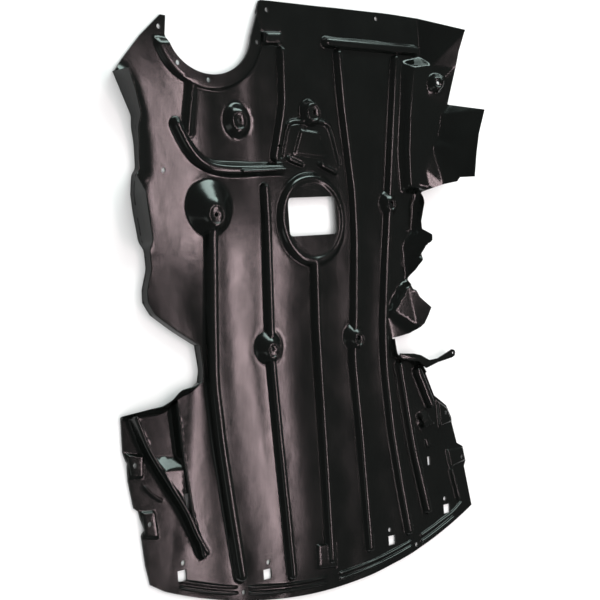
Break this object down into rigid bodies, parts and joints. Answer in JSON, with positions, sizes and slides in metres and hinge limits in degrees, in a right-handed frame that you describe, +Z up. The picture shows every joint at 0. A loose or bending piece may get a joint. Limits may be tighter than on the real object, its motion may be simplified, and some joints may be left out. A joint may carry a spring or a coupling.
{
  "type": "engine splash shield",
  "caption": "Large moulded undertray with long ribs, screw domes, a round plateau with a drain opening, side flanges and a bowed front lip.",
  "frame": {"origin": "on the floor, below the middle of the tray's bounding box", "axes": "+Y toward the rear of the car, +X to the right in the picture, +Z up from the street side to the engine side"},
  "size_m": [0.91, 1.08, 0.072],
  "materials": {
    "shield": "black moulded polypropylene, satin"
  },
  "bodies": {
    "root": {"splash_shield": "shield"}
  },
  "joints": []
}
